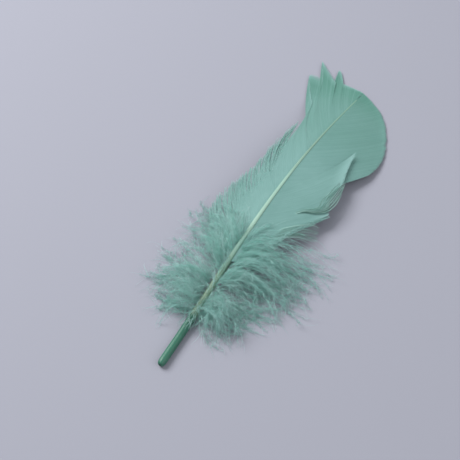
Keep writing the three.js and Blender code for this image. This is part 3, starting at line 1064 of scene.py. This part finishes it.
@dataclass
class Vane:
    """One vane: a row of barbs, each a thin blade that overlaps the next, parted into webs.

    Barbs number by the pitch along the shaft or along edge_share of the margin, and more where
    they fray. They taper from taper_from of their length on to the shares blunt of their width
    and thickness. The outer part of a frayed one, from free_from on, strays and gets thin.
    """

    side: int
    webs: Sequence[Web]
    seed: int
    pitch: float = 0.34
    steps: int = 15
    thickness: float = 0.07
    overlap: float = 1.7
    widest: float = 0.62
    tilt: float = 0.07
    ripple: float = 0.02
    crowding: float = 0.9
    edge_share: float = 0.7
    fray_count: float = 0.5
    part: float = 0.12
    stray: tuple[float, float] = (0.3, 1.1)
    free_from: float = 0.35
    free_stray: tuple[float, float] = (1.3, 1.6)
    free_rise: float = 0.5
    narrowest: float = 0.1
    taper_from: float = 0.92
    blunt: tuple[float, float] = (0.25, 0.3)
    thin_from: float = 0.45
    thinning: float = 0.72
    edge_thickness: float = 0.6
    fray_tone: float = 0.6
    lowest: float = 0.25
    rounding: float = 0.2
    fringed_from: float = 0.3
    fringe_tone: tuple[float, float] = (0.6, 1.0)
    fringe: Barbules = field(
        default_factory=lambda: Barbules(
            length=1.5, radius=0.02, per_mm=4.7, leave=30.0, start=0.28, gather=0.45
        )
    )

    def surfaces(self) -> tuple[Surface, list[Surface]]:
        """Builds every web.

        Returns:
            The vane's barbs, and the fringes of the webs that are frayed.
        """
        surface, fringes = Surface(smooth=False), []
        rng = np.random.default_rng(self.seed)
        for index, web in enumerate(self.webs):
            rows = (index / len(self.webs), (index + 1) / len(self.webs))
            paths = self._add_web(surface, web, rng, rows)
            if web.fray > self.fringed_from:
                tone = rng.uniform(*self.fringe_tone, len(paths))
                values = {"station": paths[:, -1, 1] / LINE.reach, "tone": tone}
                fringes += self.fringe.grow(paths, values, rng)
        return surface, fringes

    def _add_web(
        self, surface: Surface, web: Web, rng: np.random.Generator, rows: tuple[float, float]
    ) -> Array:
        """Adds one web's barbs, wide enough at each step to lap over the next barb.

        Formula: arcs from the shaft to the margin, laid on the vane's height plus lift * t^2,
        curl * t^6 and a ripple shared by neighbours; width = overlap * distance to the next barb,
        less in the outer part of a frayed web, where the barbs stray too.

        Args:
            surface: where the barbs go.
            web: the web.
            rng: random numbers.
            rows: the web's band of the UV map.

        Returns:
            The barbs' paths, of shape (barbs, steps, 3).
        """
        margin = np.array(web.margin)
        outline = self.edge_share * np.linalg.norm(np.diff(margin, axis=0), axis=1).sum()
        crowd = (1.0 + self.fray_count * web.fray) / self.pitch
        count = int(round(max(web.head - web.foot, outline) * crowd))
        share = np.linspace(0.0, 1.0, count)
        t = np.linspace(0.0, 1.0, self.steps) ** self.crowding
        roots = np.stack([np.zeros(count), lerp(web.foot, web.head, share)], axis=-1)
        shared, own = wander(count, rng)
        stray = self.stray[0] * shared + self.stray[1] * own
        tips = through(margin, share) + self.part * shared[:, :2]
        flat = barb_arcs(roots, tips, np.full(count, np.radians(web.bend)), t[None])
        free = web.fray * smooth_step(self.free_from, 1.0, t)
        flat = flat + free[:, None] * (stray[:, None, 2:4] * np.array(self.free_stray))
        centre = LINE.axis(np.minimum(flat[..., 1], LINE.length))[..., 0]
        x = centre + self.side * flat[..., 0]
        lift = lerp(*web.lift, share)[:, None]
        z = LINE.vane_height(x, flat[..., 1]) + lift * t**2 + web.curl * t**6
        z = z + self.ripple * shared[:, 5:6] * t**2 + self.free_rise * free * stray[:, 6:7]
        z = soft_max(z, np.full_like(z, self.lowest), self.rounding)
        taper = 1.0 - smooth_step(self.taper_from, 1.0, t)
        loosened = 1.0 - self.thinning * web.fray * smooth_step(self.thin_from, 1.0, t)
        width = np.clip(self._gap(flat) * self.overlap, self.narrowest, self.widest)
        width = width * lerp(self.blunt[0], 1.0, taper) * loosened
        height = self.thickness * lerp(1.0, self.edge_thickness, t) * lerp(self.blunt[1], 1.0, taper)
        height = np.broadcast_to(height, z.shape)
        paths = np.stack([x, flat[..., 1], z], axis=-1)
        Strands(paths, width, height, np.full_like(z, self.side * self.tilt)).weave(
            surface,
            Section.BLADE,
            rows,
            along=np.broadcast_to(t, z.shape),
            station=flat[..., 1] / LINE.reach,
            tone=lerp(rng.random(count), 1.0, self.fray_tone * web.fray)[:, None],
            # Painted highlight along the web's margin.
            bleach=np.broadcast_to(web.bleach * smooth_step(web.bleach_from, 1.0, t), z.shape),
        )
        return paths

    @staticmethod
    def _gap(flat: Array) -> Array:
        """Distance from each barb to the next.

        Args:
            flat: the barbs' level places, of shape (barbs, steps, 2).

        Returns:
            The distance at each step, square to the barb.
        """
        along = unit(np.gradient(flat, axis=1))
        step = np.diff(flat, axis=0)
        step = np.concatenate([step, step[-1:]])
        return np.abs(along[..., 0] * step[..., 1] - along[..., 1] * step[..., 0])


@dataclass
class FrayedEnds:
    """Barbs torn loose from the wide vane: by default those at its notch, which sweep up the margin.

    inner and outer are the paths of the first and last barb as (x, y, height over the vane); the
    others lie between them. jitter is how unevenly the clumps stand, spread how far a barb strays
    from its clump at either end, and closing how far the clumps draw together from close_from on.
    wave, its turns and slip move a clump and a barb about, and rises scales a clump's height.
    """

    inner: tuple[tuple[float, float, float], ...] = (
        (-1.6, 64, -0.6), (6.2, 76, -0.7), (10.8, 82.3, 0.7), (14.3, 84.9, 1.4),
        (15.7, 87.0, 1.8), (15.2, 91.0, 1.9), (15.8, 96.5, 1.7), (17.2, 102, 1.3),
    )
    outer: tuple[tuple[float, float, float], ...] = (
        (-1.7, 65, -0.6), (6.4, 75.6, -0.7), (11.2, 81.8, 0.5), (15.2, 84.1, 0.9),
        (18.6, 87.2, 1.2), (20.0, 91.5, 1.3), (19.7, 97.0, 1.1), (18.6, 102.6, 0.7),
    )
    barbs: int = 63
    clumps: int = 9
    steps: int = 28
    width: float = 0.15
    thickness: float = 0.12
    taper: float = 0.7
    taper_from: float = 0.5
    roll: float = 0.2
    jitter: float = 0.5
    spread: tuple[float, float] = (0.014, 0.038)
    closing: float = 0.25
    close_from: float = 0.85
    wave: float = 0.45
    turns: float = 1.3
    slip: float = 0.7
    rises: tuple[float, float] = (0.8, 1.05)
    own_rise: float = 0.08
    shades: tuple[float, float] = (0.15, 0.95)
    seed: int = 77

    def surface(self) -> Surface:
        """Builds the loose barbs, gathered in clumps that part in the middle and close at the end.

        Formula: a barb's share of the way from inner to outer is its clump's, plus a small one of
        its own; the clumps' shares draw together over the last part of their length.

        Returns:
            The surface of all the barbs.
        """
        rng = np.random.default_rng(self.seed)
        t = np.linspace(0.0, 1.0, self.steps)
        inner, outer = through(np.array(self.inner), t), through(np.array(self.outer), t)
        clump = np.arange(self.barbs) % self.clumps
        home = clump + self.jitter * rng.random(self.clumps)[clump]
        home = (home / (self.clumps - self.jitter))[:, None]
        own = rng.normal(size=(self.barbs, 4, 1))
        close = self.closing * smooth_step(self.close_from, 1.0, t)
        share = home + lerp(*self.spread, t) * own[:, 0] - close * (home - 0.5)
        flat = lerp(inner[None], outer[None], share[..., None])
        wave = self.wave * rng.normal(size=(self.clumps, 1))[clump]
        x = flat[..., 0] + wave * np.sin(2.0 * np.pi * self.turns * t) * t
        y = flat[..., 1] + self.slip * own[:, 2] * t
        rise = lerp(*self.rises, rng.random(self.clumps)[clump][:, None])
        z = LINE.vane_height(x, y) + flat[..., 2] * rise + self.own_rise * own[:, 3]
        taper = 1.0 - self.taper * smooth_step(self.taper_from, 1.0, t)
        shape = (self.barbs, self.steps)
        width, height = (np.broadcast_to(size * taper, shape) for size in (self.width, self.thickness))
        surface = Surface()
        roll = np.broadcast_to(self.roll * own[:, 0], shape)
        Strands(np.stack([x, y, z], axis=-1), width, height, roll).weave(
            surface,
            Section.BLADE,
            (0.0, 1.0),
            along=np.broadcast_to(lerp(*self.shades, t), shape),
            station=y / LINE.reach,
            tone=rng.random(self.barbs)[:, None],
        )
        return surface


LOWER_EDGE = FrayedEnds(
    inner=((-1.4, 56, -0.6), (4.6, 66, -0.4), (9.6, 72.6, 0.2), (14.4, 77.4, 0.4), (18.6, 80.4, 0.6)),
    outer=((-1.4, 53, -0.6), (4.8, 61.6, -0.4), (10.4, 67.6, 0.1), (16.0, 71.6, 0.1), (21.6, 73.4, 0.2)),
    barbs=45,
    clumps=15,
    steps=20,
    width=0.14,
    seed=78,
)


def threads(paths: Array, thickness: Array, point: float = 0.35, flatness: float = 0.8) -> Strands:
    """Tapering threads.

    Args:
        paths: their paths, of shape (threads, steps, 3).
        thickness: how wide each is at its root.
        point: how wide they are at their ends, as a share of that.
        flatness: height over width.

    Returns:
        The threads, unrolled.
    """
    taper = lerp(1.0, point, np.linspace(0.0, 1.0, paths.shape[1]))
    width = thickness[:, None] * taper
    return Strands(paths, width, flatness * width, np.zeros_like(width))


@dataclass
class Twigs:
    """Longer side hairs of the down's barbs, each bent its own way. Angles are in degrees.

    They leave at an angle, turn back by the share turn_back of it and by a turn of their own, and
    climb at first and sink later on.
    """

    per_barb: int = 13
    shortest: float = 2.5
    longest: float = 9.0
    leave: float = 24.0
    leave_spread: float = 9.0
    turn: float = 50.0
    turn_back: float = 0.4
    climb: float = 13.0
    climb_spread: float = 14.0
    sink: float = 30.0
    start: float = 0.1
    end: float = 0.97
    steps: int = 7
    thickness: float = 0.1
    widths: tuple[float, float] = (0.7, 1.2)
    lowest: float = 0.15
    rounding: float = 0.2

    def grow(self, paths: Array, rng: np.random.Generator) -> tuple[Strands, Array, Array]:
        """Grows hairs on all the barbs.

        Formula: each leaves a random place on its barb at an angle to it, and its heading and its
        climb change evenly along it; the place is the running sum of the steps.

        Args:
            paths: the barbs, of shape (barbs, steps, 3).
            rng: random numbers.

        Returns:
            The hairs, the number of the barb that each stands on and its place along that barb.
        """
        barb = np.repeat(np.arange(len(paths)), self.per_barb)
        total = len(barb)
        root = lerp(self.start, self.end, rng.random(total))
        spot = root * (paths.shape[1] - 1)
        index = np.minimum(spot.astype(int), paths.shape[1] - 2)
        near, far = paths[barb, index], paths[barb, index + 1]
        first = lerp(near, far, (spot - index)[:, None])
        way = unit(far - near)
        t = np.linspace(0.0, 1.0, self.steps)[None]
        side = rng.choice([-1.0, 1.0], total)
        leave = np.radians(side * np.abs(rng.normal(self.leave, self.leave_spread, total)))
        turn = np.radians(rng.normal(0.0, self.turn, total) - self.turn_back * side * self.leave)
        heading = (np.arctan2(way[:, 0], way[:, 1]) + leave)[:, None] + turn[:, None] * t
        climb = np.arcsin(way[:, 2]) + np.radians(rng.normal(self.climb, self.climb_spread, total))
        climb = climb[:, None] - math.radians(self.sink) * t
        size = rng.uniform(self.shortest, self.longest, total)[:, None] / (self.steps - 1)
        level = np.cos(climb)
        move = np.stack([np.sin(heading) * level, np.cos(heading) * level, np.sin(climb)], axis=-1)
        move = np.cumsum(move * size[..., None], axis=1)
        hairs = first[:, None] + np.concatenate([np.zeros((total, 1, 3)), move[:, :-1]], axis=1)
        hairs[..., 2] = soft_max(hairs[..., 2], np.full_like(hairs[..., 2], self.lowest), self.rounding)
        return threads(hairs, self.thickness * rng.uniform(*self.widths, total)), barb, root


@dataclass
class Down:
    """One layer of one side's down: soft barbs that fan out, rise and sink, fringed with barbules.

    Its barbs leave the shaft from foot to head. leave is the angle they start at, from the
    direction of the tip, turn how far they swing round and reach their length, each given for the
    lowest and the highest barb. rise is how far their middles stand off a straight line down to
    the surface, from least to most. spread and swing are how far leave and turn vary, uneven how
    far their lengths do, wave how far they wobble and wobbles how often, with what its own part
    adds. curl is the size of their helix and curl_pitch its length. tone and barb_tone are the
    range of tones of the barbules and of the barbs, and rows the map's parts for barbs and hairs.
    """

    name: str
    side: int
    seed: int
    barbs: int
    foot: float
    head: float
    leave: tuple[float, float]
    turn: tuple[float, float]
    reach: tuple[float, float]
    rise: tuple[float, float]
    fringe: Barbules = field(default_factory=Barbules)
    twigs: Twigs = field(default_factory=Twigs)
    tone: tuple[float, float] = (0.1, 0.8)
    steps: int = 20
    thickness: float = 0.08
    spread: float = 15.0
    swing: float = 26.0
    wave: float = 15.0
    curl: float = 1.0
    curl_pitch: float = 10.0
    stray: tuple[float, float] = (1.1, 1.6)
    uneven: float = 0.14
    shortest: float = 5.0
    wobbles: tuple[float, float] = (0.8, 0.5)
    barb_tone: tuple[float, float] = (0.65, 1.0)
    hair_shade: float = 0.8
    rows: tuple[float, float] = (0.4, 1.0)
    lowest: float = 0.2

    def paths(self, rng: np.random.Generator) -> tuple[Array, Array]:
        """Curves of all the barbs.

        Formula: the heading turns evenly along a barb and wobbles as a sine; the height goes from
        the shaft's down to the surface over a parabola of the barb's own rise; a small helix that
        widens outwards curls it.

        Args:
            rng: random numbers.

        Returns:
            Paths of shape (barbs, steps, 3), and each barb's share of the way up the down.
        """
        share = (np.arange(self.barbs) + rng.random(self.barbs)) / self.barbs
        t = np.linspace(0.0, 1.0, self.steps)[None]
        shared, single = wander(self.barbs, rng)
        own = (self.stray[0] * shared + self.stray[1] * single)[..., None]
        root = LINE.axis(lerp(self.foot, self.head, share))
        length = lerp(*self.reach, np.sin(0.5 * np.pi * share))[:, None]
        length = length * (1.0 + self.uneven * (own[:, 0] - 1.0))
        length = np.clip(length, self.shortest, self.reach[1])
        leave = lerp(*self.leave, share)[:, None] + self.spread * own[:, 1]
        turn = lerp(*self.turn, share)[:, None] + self.swing * own[:, 2]
        often = self.wobbles[0] + self.wobbles[1] * np.abs(own[:, 3])
        wobble = np.sin(2.0 * np.pi * (often * t + own[:, 4]))
        heading = np.radians(leave + turn * t + self.wave * wobble * t)
        step = length / (self.steps - 1)
        x = root[:, :1] + self.side * np.cumsum(np.sin(heading) * step, axis=1)
        y = root[:, 1:2] + np.cumsum(np.cos(heading) * step, axis=1)
        rise = rng.uniform(*self.rise, self.barbs)[:, None]
        z = root[:, 2:] * (1.0 - t) + 4.0 * rise * t * (1.0 - t)
        turns = 2.0 * np.pi * (length / self.curl_pitch * t + own[:, 5])
        size = self.curl * t * np.abs(own[:, 6])
        x = x + size * np.cos(turns)
        z = soft_max(z + size * np.sin(turns), np.full_like(z, self.lowest))
        return np.stack([x, y, z], axis=-1), share

    def surfaces(self) -> tuple[Surface, list[Surface]]:
        """Builds the layer.

        Returns:
            The barbs and their side hairs, as three-sided tapering threads, and their barbules.
        """
        rng = np.random.default_rng(self.seed)
        paths, share = self.paths(rng)
        t = np.linspace(0.0, 1.0, self.steps)[None]
        station, tone = paths[..., 1] / LINE.reach, rng.uniform(*self.barb_tone, self.barbs)
        surface, barb_rows = Surface(), (0.0, self.rows[0])
        threads(paths, np.full(self.barbs, self.thickness)).weave(
            surface, Section.HAIR, barb_rows, along=t, station=station, tone=tone[:, None]
        )
        hairs, barb, place = self.twigs.grow(paths, rng)
        shade = self.hair_shade * np.linspace(0.0, 1.0, self.twigs.steps)[None]
        ends, height = lerp(place[:, None], 1.0, shade), hairs.paths[..., 1] / LINE.reach
        hairs.weave(
            surface, Section.HAIR, self.rows, along=ends, station=height, tone=tone[barb, None]
        )
        values = {"station": station[:, 0], "tone": rng.uniform(*self.tone, self.barbs)}
        return surface, self.fringe.grow(paths, values, rng)


LOW: dict[str, Any] = {
    "fringe": Barbules(length=2.8, radius=0.02, per_mm=11.0),
    "twigs": Twigs(per_barb=8),
    "tone": (0.0, 0.5),
}
COLLAR: dict[str, Any] = {
    "fringe": Barbules(length=1.7, per_mm=8.0),
    "twigs": Twigs(per_barb=8, longest=6.0),
    "tone": (0.3, 1.0),
}
FAR: dict[str, Any] = {
    "fringe": Barbules(length=0.8, radius=0.017, per_mm=6.0, leave=24.0, ease=10.0, tilt=50.0),
    "twigs": Twigs(per_barb=1, longest=5.0, leave=12.0, turn=25.0),
    "tone": (0.0, 1.0),
    "steps": 24,
    "spread": 6.0,
    "swing": 9.0,
}

DOWN_LAYERS = (
    Down("narrow_low", -1, 21, 70, 23.5, 58, (122, 40), (-30, -20), (17, 29), (-0.6, 1.8), **LOW),
    Down("narrow_high", -1, 31, 66, 24.5, 57, (100, 28), (20, 26), (15, 25), (3.0, 6.8)),
    Down("wide_low", 1, 41, 74, 23.5, 57, (128, 46), (-44, 22), (17, 36), (-0.6, 2.0), **LOW),
    Down("wide_high", 1, 51, 66, 24.5, 56, (100, 36), (34, 48), (15, 30), (3.0, 7.4)),
    Down("wide_far", 1, 61, 44, 44, 62, (66, 50), (38, 66), (34, 43), (1.0, 3.4), **FAR),
    Down("narrow_collar", -1, 71, 12, 24, 46, (158, 104), (46, 80), (8, 15), (2.4, 4.4), **COLLAR),
    Down("wide_collar", 1, 81, 14, 24, 46, (158, 104), (46, 80), (8, 15), (2.4, 4.4), **COLLAR),
    Down("crossing", -1, 91, 9, 31, 45, (-30, -22), (104, 96), (9, 14), (3.2, 4.6), **COLLAR),
)


# ------------------------------------------------------------------ stage


@dataclass(frozen=True)
class Lamp:
    """A soft square lamp: azimuth from the camera's and elevation in degrees, metres and watts."""

    name: str
    azimuth: float
    elevation: float
    away: float
    size: float
    power: float


@dataclass
class Studio:
    """Floor, soft light and camera. aim is the point looked at, in the feather's millimetres."""

    place: Placement
    azimuth: float = 31.06
    elevation: float = 52.0
    distance: float = 0.4136
    lens: float = 85.0
    sensor: float = 36.0
    clip: tuple[float, float] = (0.01, 20.0)
    aim: tuple[float, float, float] = (-10.4, 64.2, 0.0)
    floor_size: float = 3.0
    lamps: tuple[Lamp, ...] = (
        Lamp("key", -125.0, 46.0, 0.9, 0.5, 8.6),
        Lamp("fill", 60.0, 40.0, 1.1, 0.8, 3.1),
    )
    sky: Colour = (0.92, 0.95, 1.0, 1.0)
    sky_strength: float = 0.45

    def floor(self) -> None:
        """Lays a wide level sheet, just under the feather."""
        half = 0.5 * self.floor_size
        mesh = bpy.data.meshes.new("floor")
        corners = [(-half, -half, 0.0), (half, -half, 0.0), (half, half, 0.0), (-half, half, 0.0)]
        mesh.from_pydata(corners, [], [(0, 1, 2, 3)])
        mesh.materials.append(FloorFinish().material())
        floor = bpy.data.objects.new("floor", mesh)
        bpy.context.scene.collection.objects.link(floor)

    def camera(self) -> None:
        """Sets up the camera, looking down on the feather."""
        data = bpy.data.cameras.new("camera")
        data.lens, data.sensor_width = self.lens, self.sensor
        data.clip_start, data.clip_end = self.clip
        aim = Vector(self.place.metres(np.array(self.aim)))
        bpy.context.scene.camera = self._mount(
            "camera", data, aim, (self.azimuth, self.elevation), self.distance
        )

    def light(self) -> None:
        """Hangs a soft key at the back left and a weak fill at the front right, in an even grey sky."""
        for lamp in self.lamps:
            data = bpy.data.lights.new(lamp.name, "AREA")
            data.shape, data.size, data.energy = "SQUARE", lamp.size, lamp.power
            way = (self.azimuth + lamp.azimuth, lamp.elevation)
            self._mount(lamp.name, data, Vector(), way, lamp.away)
        world = bpy.data.worlds.new("sky")
        world.use_nodes = True
        sky = world.node_tree.nodes["Background"]
        sky.inputs["Color"].default_value = self.sky
        sky.inputs["Strength"].default_value = self.sky_strength
        bpy.context.scene.world = world
        bpy.context.scene.view_settings.view_transform = "Standard"

    @staticmethod
    def _mount(
        name: str, data: Any, aim: Vector, way: tuple[float, float], away: float
    ) -> bpy.types.Object:
        """Hangs a camera or lamp and turns it to its aim.

        Args:
            name: the object's name.
            data: the camera or lamp.
            aim: the point that it looks at, in metres.
            way: azimuth and elevation of its place, seen from the aim, in degrees.
            away: its distance from the aim, in metres.

        Returns:
            The linked object.
        """
        azimuth, elevation = np.radians(way)
        level = math.cos(elevation)
        back = Vector((math.sin(azimuth) * level, -math.cos(azimuth) * level, math.sin(elevation)))
        piece = bpy.data.objects.new(name, data)
        piece.location = aim + back * away
        piece.rotation_euler = (-back).to_track_quat("-Z", "Y").to_euler()
        bpy.context.scene.collection.objects.link(piece)
        return piece


# ------------------------------------------------------------------ assembly


@dataclass
class Feather:
    """The whole feather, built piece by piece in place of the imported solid."""

    place: Placement

    def settle(self, surface: Surface, name: str, material: bpy.types.Material) -> None:
        """Builds a piece and ties it to the frame.

        Args:
            surface: its faces.
            name: its name.
            material: its finish.
        """
        piece = surface.build(name, self.place, material)
        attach(piece, BODY)
        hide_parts(NODE)
        log.info("%s: %d triangles", name, surface.triangles())

    def build(self) -> None:
        """Builds shaft, vanes and down."""
        vane, down = VANE_FINISH.material(), DOWN_FINISH.material()
        self.settle(Shaft().surface(), "shaft", QuillFinish().material())
        for name, side, webs, seed in (("narrow", -1, NARROW_WEBS, 11), ("wide", 1, WIDE_WEBS, 12)):
            barbs, fringes = Vane(side, webs, seed).surfaces()
            self.settle(barbs, f"{name}_vane", vane)
            for number, fringe in enumerate(fringes, 1):
                self.settle(fringe, f"{name}_vane_fringe_{number}", down)
        loose = LOOSE_FINISH.material()
        self.settle(FrayedEnds().surface(), "frayed_ends", loose)
        self.settle(LOWER_EDGE.surface(), "frayed_edge", loose)
        for layer in DOWN_LAYERS:
            barbs, fringes = layer.surfaces()
            self.settle(barbs, f"{layer.name}_down", down)
            for number, fringe in enumerate(fringes, 1):
                self.settle(fringe, f"{layer.name}_down_barbules_{number}", down)


def main() -> None:
    """Builds the stage and the feather."""
    logging.basicConfig(level=logging.INFO, format="%(name)s %(message)s")
    place = Placement.from_frame()
    studio = Studio(place)
    studio.floor()
    studio.camera()
    studio.light()
    Feather(place).build()


if __name__ == "__main__":
    main()
